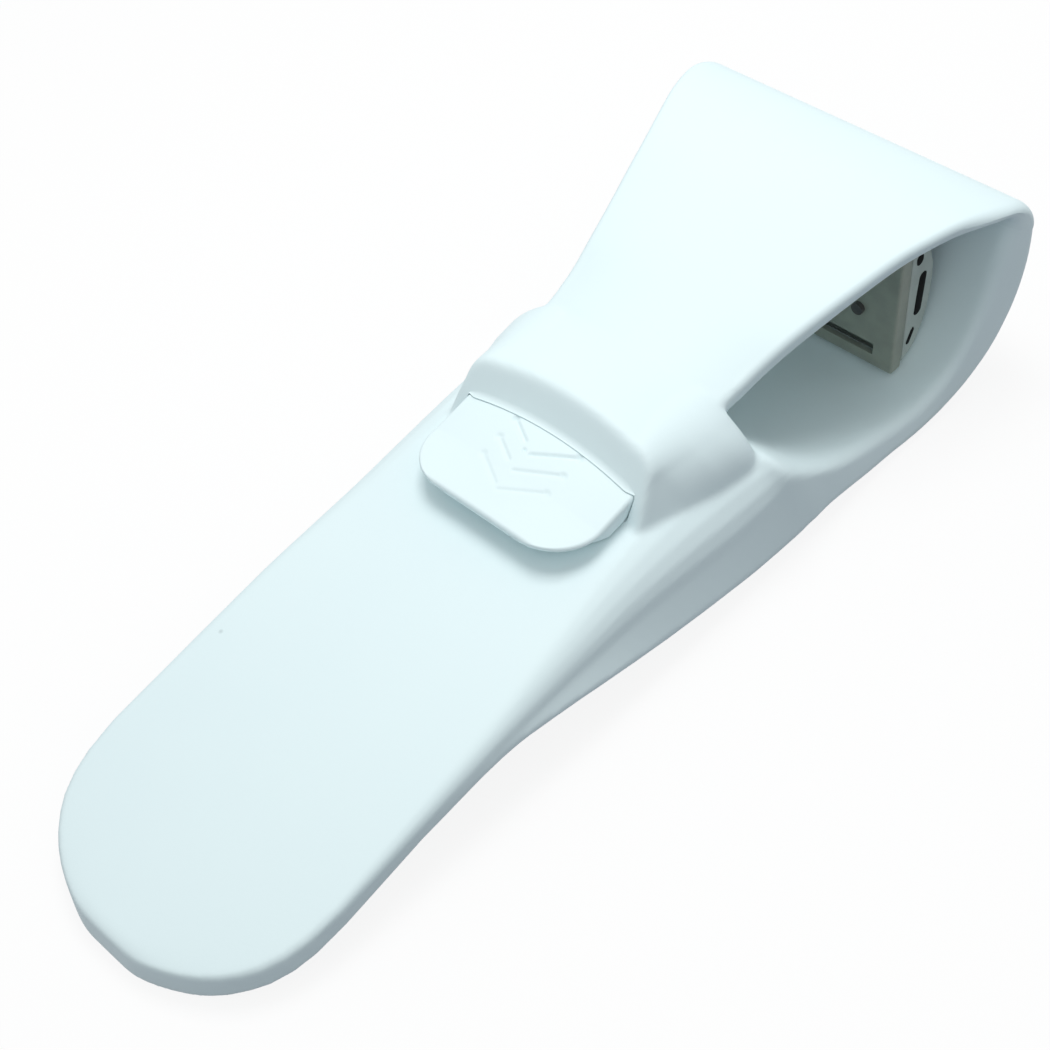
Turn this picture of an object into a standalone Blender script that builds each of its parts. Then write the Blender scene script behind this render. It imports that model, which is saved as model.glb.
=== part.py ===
"""Silicone razor cover: a flat grip, a keeper band and a wrap-around loop that holds a razor cartridge.

The shape is drawn level with the grip: x across the cover, y from the grip end to the nose, z up,
in millimetres, with y = 0 at the foot of the keeper's front face and z = 0 on the grip's underside.
Everything hangs from one empty that tips the cover back onto its belly and the end of the grip.
"""

import math

import bmesh
import bpy
import numpy as np
from mathutils import Matrix, Vector

MM = 0.001

# How the cover stands: tipped until the flat of its belly and the end of the grip touch the ground
REST_TILT = math.radians(10.0)
GRIP_CONTACT = (-78.4, 0.0)
BELLY_FLAT = (44.0, 49.0)
REST_CENTRE = 3.657

# Grip
GRIP_THICK = 5.0
GRIP_EDGE_RADIUS = 1.3
GRIP_CROWN = 0.4
GRIP_DRAFT = 1.1

# Gap left between neighbouring pieces
PIECE_GAP = 0.3

# Keeper: where its front face rises from the grip, and the opening the tab slides in
KEEPER_FOOT_Y = 0.5
KEEPER_FOOT_Z = 4.0
KEEPER_FRONT_SLOPE = 1.15
KEEPER_SOFT = 0.3
KEEPER_BASE = 0.5
KEEPER_REAR = 20.5
SLOT_TOP = 9.0
SLOT_SIDE = 7.4
SLOT_HALF = 15.05
SLOT_FLOOR = 3.75

# Pull tab and the strap end it is moulded on to
TAB_HALF = SLOT_HALF - 0.35
TAB_THICK = 2.5
TAB_FRONT = -10.4
TAB_CORNER = 7.0
TAB_EDGE_RADIUS = 0.6
TAB_TOP = SLOT_TOP - 0.65
TAB_FRONT_TOP = TAB_TOP + 0.85
TAB_CROWN = 1.3
TAB_REAR = KEEPER_REAR - 0.1
TAB_TRAVEL = 6.0
TAB_LEVEL_Y = KEEPER_FOOT_Y + (SLOT_SIDE - KEEPER_FOOT_Z) / KEEPER_FRONT_SLOPE - TAB_TRAVEL - PIECE_GAP
SCARF = 3.6
STRAP_HINGE = (73.1, -1.6)

# Chevrons sunk in the tab
CHEVRON_HALF = 5.7
CHEVRON_POINT = 3.0
CHEVRON_WIDTH = 0.75
CHEVRON_DIMPLE = 0.62
CHEVRON_DEPTH = 0.3
CHEVRON_ENDS = (-3.0, 0.2, 3.3)

# Cartridge: x across, y out of the back face, z up the back face
WINDOW_HALF = 16.5
WINDOW_FLOOR = 4.2
END_WALL = 0.8
CAP_INNER = WINDOW_HALF + END_WALL
CAP_THICK = 2.0
CAP_OUTER = CAP_INNER + CAP_THICK
CAP_SLOT_DEPTH = 0.9
CART_HALF = CAP_OUTER + 0.2
CART_HEIGHT = 23.8
CART_LEAN = math.radians(12.0)
FRAME_DEPTH = 2.4
TRIMMER_HALF = WINDOW_HALF - 0.4
BLADE_HALF = WINDOW_HALF - PIECE_GAP
BLADE_COUNT = 5
STUD_RADIUS = 0.95

# The cartridge stands under the strap, and the floor of the loop lies under the cartridge
STRAP_UNDERSIDE = 8.1
CART_CLEARANCE = 0.82
CART_FOOT_Y = 49.75
CART_FOOT_Z = STRAP_UNDERSIDE - CART_CLEARANCE - CART_HEIGHT * math.cos(CART_LEAN)
LOOP_FLOOR = CART_FOOT_Z - 1.2

bpy.context.preferences.edit.use_global_undo = False
for leftover in list(bpy.data.objects):
    bpy.data.objects.remove(leftover, do_unlink=True)

parts = bpy.data.collections.new("razor_cover")
cutters = bpy.data.collections.new("cutters")
for collection in (parts, cutters):
    bpy.context.scene.collection.children.link(collection)


def finish_material(name, colour, roughness, metallic=0.0):
    material = bpy.data.materials.new(name)
    material.use_nodes = True
    shader = material.node_tree.nodes["Principled BSDF"]
    shader.inputs["Base Color"].default_value = (*colour, 1.0)
    shader.inputs["Roughness"].default_value = roughness
    shader.inputs["Metallic"].default_value = metallic
    return material


def place_piece(name, mesh, material=None, cutter=False):
    """Object for a finished mesh, with its material, among the parts or among the cutters."""
    obj = bpy.data.objects.new(name, mesh)
    if cutter:
        cutters.objects.link(obj)
        obj.hide_render = True
        obj.display_type = "WIRE"
    else:
        parts.objects.link(obj)
        mesh.materials.append(material)
    return obj


def ladder_cap(start, count):
    """Quads across a closed ring that begins on the middle line, pairing its two long sides."""
    half = count // 2
    rungs = [(start + count - j, start + half + j) for j in range(half // 2, 0, -1)]
    rungs += [(start + j, start + half - j) for j in range(half // 2 + 1)]
    faces = []
    for one, two in zip(rungs[:-1], rungs[1:]):
        faces.append((one[0], two[0], two[1], one[1]))
    return faces


def loft(name, rings, material=None, cutter=False, ladder=False):
    """Skin over closed rings of equal point count, with a cap at each end."""
    count = len(rings[0])
    last = (len(rings) - 1) * count
    verts = [point for ring in rings for point in ring]
    faces = []
    for i in range(len(rings) - 1):
        for j in range(count):
            k = (j + 1) % count
            faces.append((i * count + j, i * count + k, (i + 1) * count + k, (i + 1) * count + j))
    if ladder:
        faces += ladder_cap(0, count) + ladder_cap(last, count)
    else:
        faces.append(tuple(range(count)))
        faces.append(tuple(last + j for j in range(count)))
    mesh = bpy.data.meshes.new(name)
    mesh.from_pydata([Vector(v) * MM for v in verts], [], faces)
    shell = bmesh.new()
    shell.from_mesh(mesh)
    bmesh.ops.recalc_face_normals(shell, faces=shell.faces)
    shell.to_mesh(mesh)
    shell.free()
    return place_piece(name, mesh, material, cutter)


def slab(name, outline, low, high, material=None, cutter=False, across=False):
    """Prism over a closed flat outline: drawn in (x, y) and rising in z, or in (y, z) and running across x."""
    curve = bpy.data.curves.new(name, "CURVE")
    curve.dimensions = "2D"
    curve.fill_mode = "BOTH"
    curve.extrude = (high - low) / 2 * MM
    line = curve.splines.new("POLY")
    line.points.add(len(outline) - 1)
    for point, (u, v) in zip(line.points, outline):
        point.co = (u * MM, v * MM, 0.0, 1.0)
    line.use_cyclic_u = True
    drawn = bpy.data.objects.new(name, curve)
    parts.objects.link(drawn)
    graph = bpy.context.evaluated_depsgraph_get()
    mesh = bpy.data.meshes.new_from_object(drawn.evaluated_get(graph))
    bpy.data.objects.remove(drawn, do_unlink=True)
    middle = Matrix.Translation((0.0, 0.0, (high + low) / 2 * MM))
    turn = Matrix(((0, 0, 1, 0), (1, 0, 0, 0), (0, 1, 0, 0), (0, 0, 0, 1))) if across else Matrix.Identity(4)
    mesh.transform(turn @ middle)
    shell = bmesh.new()
    shell.from_mesh(mesh)
    bmesh.ops.remove_doubles(shell, verts=shell.verts, dist=0.00001)
    bmesh.ops.recalc_face_normals(shell, faces=shell.faces)
    shell.to_mesh(mesh)
    shell.free()
    return place_piece(name, mesh, material, cutter)


def box(name, low, high, material=None, cutter=False):
    size = (Vector(high) - Vector(low)) * MM
    middle = (Vector(high) + Vector(low)) / 2 * MM
    block = bmesh.new()
    bmesh.ops.create_cube(block, size=1.0)
    bmesh.ops.transform(block, matrix=Matrix.Translation(middle) @ Matrix.Diagonal((*size, 1.0)), verts=block.verts)
    mesh = bpy.data.meshes.new(name)
    block.to_mesh(mesh)
    block.free()
    return place_piece(name, mesh, material, cutter)


def soften_edges(target, width, angle):
    edge = target.modifiers.new("edge", "BEVEL")
    edge.width = width * MM
    edge.segments = 2
    edge.limit_method = "ANGLE"
    edge.angle_limit = math.radians(angle)


def section(inner, outer, half_in, half_out, r_in, r_out, crown_in, crown_out):
    """Rounded rectangle across x, between an inner and an outer (y, z) point of the side profile.

    The crowns move each face up or down towards the sides, by the square of x.
    """
    inner = np.array(inner)
    outer = np.array(outer)
    depth = float(np.linalg.norm(inner - outer))
    way = (inner - outer) / depth
    rise = math.copysign(1.0, way[1])
    r_in = min(r_in, 0.49 * depth, 0.9 * half_in)
    r_out = min(r_out, 0.49 * depth, 0.9 * half_out)
    flat_in = half_in - r_in
    flat_out = half_out - r_out
    half = []
    for k in range(7):
        x = flat_in * k / 6
        half.append((x, depth, -crown_in * (x / half_in) ** 2))
    for k in range(1, 5):
        a = math.pi / 2 * k / 4
        x = flat_in + r_in * math.sin(a)
        half.append((x, depth - r_in + r_in * math.cos(a), -crown_in * (flat_in / half_in) ** 2))
    for k in range(5):
        a = math.pi / 2 + math.pi / 2 * k / 4
        x = flat_out + r_out * math.sin(a)
        half.append((x, r_out + r_out * math.cos(a), crown_out * (flat_out / half_out) ** 2))
    for k in range(1, 7):
        x = flat_out * (1 - k / 6)
        half.append((x, 0.0, crown_out * (x / half_out) ** 2))
    whole = half + [(-x, h, s) for x, h, s in reversed(half[1:-1])]
    return [(x, outer[0] + way[0] * h, outer[1] + way[1] * h + rise * s) for x, h, s in whole]


def smooth_rows(rows, steps):
    """Catmull-Rom rows between the given ones."""
    rows = np.array(rows, float)
    out = []
    for i in range(len(rows) - 1):
        before = rows[max(i - 1, 0)]
        here = rows[i]
        there = rows[i + 1]
        after = rows[min(i + 2, len(rows) - 1)]
        for s in range(steps):
            t = s / steps
            out.append(
                0.5
                * (
                    2 * here
                    + (there - before) * t
                    + (2 * before - 5 * here + 4 * there - after) * t * t
                    + (3 * here - before - 3 * there + after) * t**3
                )
            )
    out.append(rows[-1])
    return out


def rings_from(rows):
    return [section(r[0:2], r[2:4], r[4], r[5], r[6], r[7], r[8], r[9]) for r in rows]


def boolean(target, other, operation):
    step = target.modifiers.new(operation.lower(), "BOOLEAN")
    step.object = other
    step.operation = operation
    step.solver = "EXACT"


def bake(target):
    """Turns the modifiers of an object into its mesh."""
    graph = bpy.context.evaluated_depsgraph_get()
    mesh = bpy.data.meshes.new_from_object(target.evaluated_get(graph))
    target.modifiers.clear()
    target.data = mesh


def join_seams(target, distance=0.00005):
    shell = bmesh.new()
    shell.from_mesh(target.data)
    bmesh.ops.remove_doubles(shell, verts=shell.verts, dist=distance)
    bmesh.ops.recalc_face_normals(shell, faces=shell.faces)
    shell.to_mesh(target.data)
    shell.free()


silicone = finish_material("white_silicone", (0.86, 0.89, 0.9), 0.42)
beige = finish_material("beige_housing", (0.42, 0.42, 0.38), 0.45)
grey = finish_material("grey_frame", (0.34, 0.34, 0.31), 0.5)
steel = finish_material("blade_steel", (0.75, 0.76, 0.78), 0.22, 1.0)
strip_gel = finish_material("strip_gel", (0.55, 0.68, 0.66), 0.6)
fin_rubber = finish_material("fin_rubber", (0.12, 0.13, 0.14), 0.7)
stud_dark = finish_material("stud_dark", (0.08, 0.08, 0.08), 0.4)

# Cover body: grip, thickened waist, scooped floor and nose, one sweep of side-profile sections.
# Columns: inner y, z, outer y, z, inner half width, outer half width, inner and outer edge radius,
# inner crown, outer crown
grip_end = (
    # y, half width, how far the rounded tip falls short of each face
    (-80.2, 3.2, 0.9),
    (-80.1, 4.6, 0.6),
    (-79.8, 6.1, 0.3),
    (-79.3, 7.7, 0.1),
    (-78.4, 10.0, 0.0),
    (-77.3, 12.2, 0.0),
    (-75.9, 14.3, 0.0),
    (-74.3, 16.1, 0.0),
    (-72.3, 17.8, 0.0),
    (-70.2, 19.2, 0.0),
    (-67.3, 20.4, 0.0),
    (-64.0, 21.1, 0.0),
    (-59.0, 21.4, 0.0),
)
along, across = np.gradient([row[0] for row in grip_end]), np.gradient([row[1] for row in grip_end])
grip_rows = []
for (y, half, drop), run, spread in zip(grip_end, along, across):
    # The tip's wall leans in towards the top face, by the draft at the very end and by nothing at the sides
    lean = float(np.interp(y, [-78.0, -72.0, -59.0], [GRIP_DRAFT, 0.5 * GRIP_DRAFT, 0.0])) / math.hypot(run, spread)
    inner = (y + lean * spread, GRIP_THICK - drop)
    halves = (half - lean * run, half - 0.2 * min(1.0, run))
    grip_rows.append((*inner, y, 0.7 * drop, *halves, GRIP_EDGE_RADIUS, GRIP_EDGE_RADIUS, GRIP_CROWN, 0))


def belly_level(y):
    """Height of the resting plane at one y of the level frame."""
    return GRIP_CONTACT[1] - (y - GRIP_CONTACT[0]) * math.tan(REST_TILT)


waist_rows = [
    (-46.0, 5.0, -46.0, 0.0, 21.5, 21.4, 2.0, 1.4, 0.4, 0),
    (-32.0, 5.0, -32.0, -0.5, 21.7, 22.0, 2.6, 1.6, 0.5, 0),
    (-23.0, 5.0, -23.0, -2.9, 21.8, 22.8, 3.6, 2.0, 0.6, 0),
    (-14.0, 5.0, -14.0, -6.1, 22.0, 23.6, 5.0, 2.2, 0.8, 0),
    (-5.0, 5.0, -5.0, -9.5, 22.5, 24.2, 6.6, 2.4, 0.9, 0),
    (4.0, 4.9, 4.0, -12.4, 23.3, 24.8, 7.6, 2.6, 1.0, 0),
    (12.0, 4.6, 12.5, -14.9, 24.0, 25.2, 7.0, 2.6, 1.3, 0),
    (18.0, 4.0, 19.5, -16.3, 24.4, 25.5, 5.0, 2.6, 1.6, 0),
    (20.6, 2.9, 22.0, -16.7, 24.6, 25.6, 3.4, 2.6, 1.5, 0),
    (22.8, 0.041 * LOOP_FLOOR, 24.5, -17.0, 24.8, 25.7, 2.2, 2.6, 0.6, 0),
    (25.4, 0.273 * LOOP_FLOOR, 27.5, -17.4, 24.9, 25.7, 1.6, 2.6, 0.2, 0),
    (29.2, 0.5 * LOOP_FLOOR, 31.5, -18.3, 25.2, 25.8, 1.2, 2.4, 0, 0),
    (34.2, 0.692 * LOOP_FLOOR, 36.0, -19.6, 25.4, 25.9, 1.2, 2.2, 0, 0),
    (39.5, 0.837 * LOOP_FLOOR, 40.5, -20.75, 25.6, 26.0, 1.2, 2.0, 0, 0),
    (44.6, 0.948 * LOOP_FLOOR, BELLY_FLAT[0], belly_level(BELLY_FLAT[0]), 25.9, 26.2, 1.2, 1.8, 0, 0),
]
nose_rows = [
    (49.6, LOOP_FLOOR, BELLY_FLAT[1], belly_level(BELLY_FLAT[1]), 26.2, 26.5, 1.2, 1.8, 0, 0),
    (54.3, 0.936 * LOOP_FLOOR, 55.2, -22.3, 26.6, 26.9, 1.2, 1.8, 0, 0),
    (57.8, 0.791 * LOOP_FLOOR, 60.6, -20.8, 26.9, 27.3, 1.4, 1.9, 0, 0),
    (60.8, 0.587 * LOOP_FLOOR, 65.2, -18.1, 27.2, 27.6, 1.7, 2.0, 0, 0),
    (63.5, 0.331 * LOOP_FLOOR, 69.1, -13.4, 27.5, 27.9, 2.0, 2.1, 0, 0),
    (65.8, 0.064 * LOOP_FLOOR, 71.7, -7.7, 27.8, 28.1, 2.2, 2.2, 0, 0),
    (67.5, 2.2, 73.0, -1.9, 27.9, 28.1, 2.3, 2.2, 0, 0),
]
body_rows = grip_rows + smooth_rows(waist_rows, 2) + smooth_rows(nose_rows, 2)
cover_body = loft("cover_body", rings_from(body_rows), silicone, ladder=True)

# Keeper: a crowned band raised on the waist, its front face a plane leaning back into the falling top,
# its two sides running out to the cover in hollows that widen towards the rear
keeper_rows = [
    # y, crown height, height at the side, foot half width, top half width, corner, hollow's width, its level
    (1.3, 13.9, 11.6, 16.8, 15.7, 2.4, 0.4, 4.1),
    (6.5, 13.5, 11.3, 16.8, 15.8, 2.6, 1.5, 3.8),
    (8.2, 13.3, 10.8, 16.9, 15.8, 2.6, 1.9, 3.7),
    (14.0, 11.9, 9.4, 17.0, 16.1, 2.2, 3.0, 3.0),
    (19.4, 10.7, 8.0, 17.1, 16.4, 1.7, 3.7, 1.9),
    (20.1, 10.5, 7.8, 17.1, 16.4, 1.5, 3.7, 1.7),
    (KEEPER_REAR, 10.2, 7.4, 17.0, 16.2, 1.2, 3.6, 1.5),
]


def keeper_row(y):
    columns = np.array(keeper_rows)
    return [float(np.interp(y, columns[:, 0], columns[:, i])) for i in range(1, 8)]


def arch(y, top, side, foot_half, top_half, corner, hollow, level, base):
    """Closed arch outline at one y: leaning feet run out in hollows, rounded shoulders and a crowned top."""
    half = []
    flat = top_half - corner
    crown = top - side
    for k in range(7):
        x = flat * k / 6
        half.append((x, top - crown * (x / top_half) ** 2))
    shoulder = top - crown * (flat / top_half) ** 2
    for k in range(1, 6):
        a = math.pi / 2 * k / 5
        half.append((flat + corner * math.sin(a), shoulder - corner + corner * math.cos(a)))
    if hollow:
        for k in range(5):
            a = math.pi / 2 * k / 4
            half.append((foot_half + hollow * (1 - math.cos(a)), level + (0.9 * hollow + 0.4) * (1 - math.sin(a))))
    half.append((foot_half + hollow, base))
    half.append((0.0, base))
    whole = half + [(-x, z) for x, z in reversed(half[1:-1])]
    return [(x, y, z) for x, z in whole]


def front_cap(y, z):
    """Soft lower of a height and the leaning front plane at this y."""
    plane = KEEPER_FOOT_Z + KEEPER_FRONT_SLOPE * (y - KEEPER_FOOT_Y)
    return -KEEPER_SOFT * math.log(math.exp(-z / KEEPER_SOFT) + math.exp(-plane / KEEPER_SOFT))


keeper_rings = []
for y in (0.2, 1.2, 2.4, 3.6, 4.8, 5.8, 6.6, 7.2, 7.8, 8.4, 9.0, 9.8, 11.0, 13.0, 16.0, 18.5, 19.4, 20.1, KEEPER_REAR):
    ring = arch(y, *keeper_row(y), KEEPER_BASE)
    keeper_rings.append([(x, y, front_cap(y, z) if z > 1.0 else z) for x, y, z in ring])
keeper = loft("keeper_blank", keeper_rings, silicone)
slot_rows = [
    # y, crown height, height at the side, foot half width, top half width, corner, no hollow, floor
    (-6.0, SLOT_TOP + 0.05, SLOT_SIDE, SLOT_HALF + 0.1, SLOT_HALF, 1.0, 0, 0, SLOT_FLOOR + 2.45),
    (0.0, SLOT_TOP, SLOT_SIDE, SLOT_HALF + 0.1, SLOT_HALF, 1.0, 0, 0, SLOT_FLOOR + 1.45),
    (5.0, SLOT_TOP - 0.05, SLOT_SIDE, SLOT_HALF + 0.1, SLOT_HALF, 1.0, 0, 0, SLOT_FLOOR),
    (TAB_REAR, SLOT_TOP + 0.05, SLOT_SIDE - 0.45, SLOT_HALF + 0.1, SLOT_HALF, 1.0, 0, 0, SLOT_FLOOR),
    (TAB_REAR + 5.6, SLOT_TOP + 0.05, SLOT_SIDE - 0.45, SLOT_HALF + 0.1, SLOT_HALF, 1.0, 0, 0, SLOT_FLOOR),
]
slot = loft("keeper_slot", [arch(*row) for row in slot_rows], cutter=True)
boolean(cover_body, keeper, "UNION")
boolean(cover_body, slot, "DIFFERENCE")
bake(cover_body)
join_seams(cover_body)
bpy.data.objects.remove(keeper, do_unlink=True)

# Loop strap: from the nose back over the cartridge to the keeper's rear
strap_rows = [
    (67.65, 2.47, STRAP_HINGE[0], STRAP_HINGE[1] + 0.02, 27.9, 28.1, 2.3, 2.2, 0, 0),
    (67.8, 3.6, 73.0, 0.9, 27.9, 28.1, 2.2, 2.2, 0, 0),
    (67.4, 4.7, 71.9, 3.4, 27.8, 28.0, 2.0, 2.1, 0, 0),
    (66.3, 5.6, 70.2, 5.4, 27.6, 27.8, 1.7, 1.8, 0, 0),
    (64.4, 6.4, 67.6, 7.1, 27.2, 27.4, 1.4, 1.5, 0, 0),
    (61.8, 7.2, 64.0, 8.7, 26.2, 26.4, 1.2, 1.3, 0, 0),
    (58.7, 7.8, 59.8, 10.1, 24.8, 25.0, 1.1, 1.1, 0, 0),
    (54.9, STRAP_UNDERSIDE, 55.2, 10.7, 23.3, 23.5, 1.1, 1.1, -0.1, 0.1),
    (50.5, STRAP_UNDERSIDE + 0.1, 50.5, 11.0, 21.8, 22.0, 1.1, 1.1, -0.2, 0.2),
    (44.5, STRAP_UNDERSIDE, 44.5, 11.0, 20.2, 20.4, 1.1, 1.1, -0.5, 0.5),
    (38.0, 7.8, 38.0, 10.8, 18.6, 18.7, 1.1, 1.1, -0.8, 0.8),
    (32.0, 7.5, 32.0, 10.5, 17.3, 17.4, 1.1, 1.1, -1.1, 1.1),
    (27.4, 7.3, 25.0, 10.2, 16.3, 16.4, 1.1, 1.1, -1.6, 1.6),
    (TAB_REAR + SCARF + PIECE_GAP, 6.9, TAB_REAR + PIECE_GAP, 9.5, 15.8, 15.9, 1.0, 1.1, -1.9, 1.9),
]
loop_strap = loft("loop_strap", rings_from(smooth_rows(strap_rows, 2)), silicone, ladder=True)

# Pull tab: the strap's end, through the keeper and out over the grip, with rounded front corners
tab_rows = []


def tab_level(y):
    """Height of the tab's top along its middle, and how far its edges hang below, at one y."""
    stations = [TAB_FRONT, TAB_LEVEL_Y, 3.0, 9.0, TAB_REAR]
    tops = [TAB_FRONT_TOP, TAB_TOP, TAB_TOP, TAB_TOP, TAB_TOP + 0.35]
    hangs = [0.3, TAB_CROWN - 0.25, TAB_CROWN, TAB_CROWN + 0.2, TAB_CROWN + 0.8]
    top = float(np.interp(y, stations, tops))
    hang = float(np.interp(y, stations, hangs))
    return top, hang


for k in range(9):
    a = math.pi / 2 * k / 8
    y = TAB_FRONT + TAB_CORNER * (1 - math.cos(a))
    half = TAB_HALF - TAB_CORNER + TAB_CORNER * math.sin(a)
    thin = (0.5, 0.15)[k] if k < 2 else 0.0
    top, hang = tab_level(y)
    hang = hang * (half / TAB_HALF) ** 2
    tab_rows.append((y, top - TAB_THICK + thin, y, top - thin, half - 0.1, half, 0.9, TAB_EDGE_RADIUS, -hang, hang))
for y in (1.0, 3.0, 5.0, 9.0, 12.0, TAB_REAR):
    top, hang = tab_level(y)
    back = y + SCARF if y == TAB_REAR else y
    tab_rows.append((back, top - TAB_THICK, y, top, TAB_HALF - 0.1, TAB_HALF, 0.9, TAB_EDGE_RADIUS, -hang, hang))
pull_tab = loft("pull_tab", rings_from(tab_rows), silicone, ladder=True)
for i, end in enumerate(CHEVRON_ENDS):
    vertex = end - CHEVRON_POINT
    spread = CHEVRON_WIDTH / math.cos(math.atan2(CHEVRON_POINT, CHEVRON_HALF)) / 2
    outline = [
        (-CHEVRON_HALF, end - spread),
        (0.0, vertex - spread),
        (CHEVRON_HALF, end - spread),
        (CHEVRON_HALF, end + spread),
        (0.0, vertex + spread),
        (-CHEVRON_HALF, end + spread),
    ]
    floor = tab_level(end - CHEVRON_POINT / 2)[0] - CHEVRON_DEPTH
    groove = slab(f"chevron_{i}", outline, floor - 0.2, floor + 3.0, cutter=True)
    boolean(pull_tab, groove, "DIFFERENCE")
    for side in (-1, 1):
        dimple = []
        for k in range(10):
            a = 2 * math.pi * k / 10
            x = side * CHEVRON_HALF + CHEVRON_DIMPLE * math.cos(a)
            dimple.append((x, end + CHEVRON_DIMPLE * math.sin(a)))
        pit = slab(f"dimple_{i}_{side}", dimple, floor - 0.25, floor + 3.0, cutter=True)
        boolean(pull_tab, pit, "DIFFERENCE")
bake(pull_tab)
join_seams(pull_tab)

# Cartridge frame: a flat plate with a long slot low down for the trimmer
cart_parts = []
frame = box("cartridge_frame", (-CART_HALF, 0.0, 0.0), (CART_HALF, FRAME_DEPTH, CART_HEIGHT), grey)
soften_edges(frame, 0.35, 30)
trimmer_slot = box("trimmer_slot", (-TRIMMER_HALF, -1.0, 2.1), (TRIMMER_HALF, FRAME_DEPTH + 1.0, 4.1), cutter=True)
boolean(frame, trimmer_slot, "DIFFERENCE")
bake(frame)
join_seams(frame)
cart_parts.append(frame)

# Blade housing: the curved front half, hollowed in front for the blades; depth, share of the height
SEAT = FRAME_DEPTH + PIECE_GAP
front = [
    (SEAT, 0.021 * CART_HEIGHT),
    (4.1, 0.05 * CART_HEIGHT),
    (5.6, 0.109 * CART_HEIGHT),
    (7.1, 0.218 * CART_HEIGHT),
    (7.9, 0.336 * CART_HEIGHT),
    (8.3, 0.462 * CART_HEIGHT),
    (8.3, 0.571 * CART_HEIGHT),
    (8.0, 0.681 * CART_HEIGHT),
    (7.0, 0.794 * CART_HEIGHT),
    (5.4, 0.895 * CART_HEIGHT),
    (SEAT, 0.95 * CART_HEIGHT),
]


def front_depth(z):
    """Depth of the curved front above the back face, at a height up the cartridge."""
    return float(np.interp(z, [p[1] for p in front], [p[0] for p in front]))


housing = slab("blade_housing", front, -CAP_INNER + PIECE_GAP, CAP_INNER - PIECE_GAP, beige, across=True)
window_low = (-WINDOW_HALF, WINDOW_FLOOR, 0.092 * CART_HEIGHT)
window = box("blade_window", window_low, (WINDOW_HALF, 12.0, 0.89 * CART_HEIGHT), cutter=True)
boolean(housing, window, "DIFFERENCE")
rinse_low = (-WINDOW_HALF + 2.5, 0.0, 0.273 * CART_HEIGHT)
rinse = box("rinse_gap", rinse_low, (WINDOW_HALF - 2.5, 12.0, 0.693 * CART_HEIGHT), cutter=True)
boolean(housing, rinse, "DIFFERENCE")
bake(housing)
join_seams(housing)
cart_parts.append(housing)

# End caps: one across each end of the housing, three narrow slots in the face of each
cap_slots = (
    # depth and share of the height of one end, the same of the other, width
    (3.9, 0.164, 4.9, 0.244, 0.6),
    (5.3, 0.336, 5.8, 0.647, 1.1),
    (4.6, 0.744, 4.3, 0.811, 0.8),
)
for side, name in ((-1, "end_cap_left"), (1, "end_cap_right")):
    span = sorted((side * CAP_INNER, side * CAP_OUTER))
    cap = slab(name, front, span[0], span[1], beige, across=True)
    soften_edges(cap, 0.3, 60)
    bake(cap)
    cut_span = sorted((side * (CAP_OUTER - CAP_SLOT_DEPTH), side * (CAP_OUTER + 1.0)))
    for y0, share_0, y1, share_1, wide in cap_slots:
        start = Vector((y0, share_0 * CART_HEIGHT))
        end = Vector((y1, share_1 * CART_HEIGHT))
        along = (end - start).normalized()
        out = Vector((-along.y, along.x)) * wide / 2
        outline = [start - out, end - out, end + out, start + out]
        boolean(cap, slab(name + "_slot", outline, *cut_span, cutter=True, across=True), "DIFFERENCE")
    bake(cap)
    join_seams(cap)
    cart_parts.append(cap)

# Blades: five thin slanted steel strips across the window, their edges following the curved front
BLADE_LEAN = math.radians(28.0)
for i in range(BLADE_COUNT):
    z = (0.294 + 0.0966 * i) * CART_HEIGHT
    tip = Vector((front_depth(z) - 0.12, z))
    back = Vector((-math.cos(BLADE_LEAN), -math.sin(BLADE_LEAN)))
    side_way = Vector((back.y, -back.x)) * 0.11
    outline = [
        tip,
        tip + back * 0.6 + side_way,
        tip + back * 2.5 + side_way,
        tip + back * 2.5 - side_way,
        tip + back * 0.6 - side_way,
    ]
    cart_parts.append(slab(f"blade_{i + 1}", outline, -BLADE_HALF, BLADE_HALF, steel, across=True))

# Guard fins past the blades at one long edge, the lubricating strip at the other
FLOOR = WINDOW_FLOOR + PIECE_GAP
FIN_SHARES = (0.773, 0.807, 0.84, 0.874)
fins = [(FLOOR, 0.752 * CART_HEIGHT), (FLOOR + 2.8, 0.752 * CART_HEIGHT)]
for share in FIN_SHARES:
    z = share * CART_HEIGHT
    fins.append((front_depth(z) - 0.1, z))
    if share != FIN_SHARES[-1]:
        fins.append((front_depth(z) - 0.65, z + 0.35))
fins.append((FLOOR, 0.878 * CART_HEIGHT))
cart_parts.append(slab("guard_fins", fins, -BLADE_HALF, BLADE_HALF, fin_rubber, across=True))
gel = [
    (FLOOR, 0.109 * CART_HEIGHT),
    (FLOOR + 1.05, 0.109 * CART_HEIGHT),
    (FLOOR + 1.9, 0.164 * CART_HEIGHT),
    (FLOOR + 2.55, 0.218 * CART_HEIGHT),
    (FLOOR + 1.9, 0.2395 * CART_HEIGHT),
    (FLOOR, 0.2395 * CART_HEIGHT),
]
cart_parts.append(slab("lubricating_strip", gel, -BLADE_HALF, BLADE_HALF, strip_gel, across=True))

# Trimmer blade: a thin sill showing in the slot of the back face
trimmer_end = TRIMMER_HALF - PIECE_GAP
cart_parts.append(box("trimmer_blade", (-trimmer_end, 0.5, 2.4), (trimmer_end, FRAME_DEPTH - 0.5, 2.62), steel))

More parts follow.
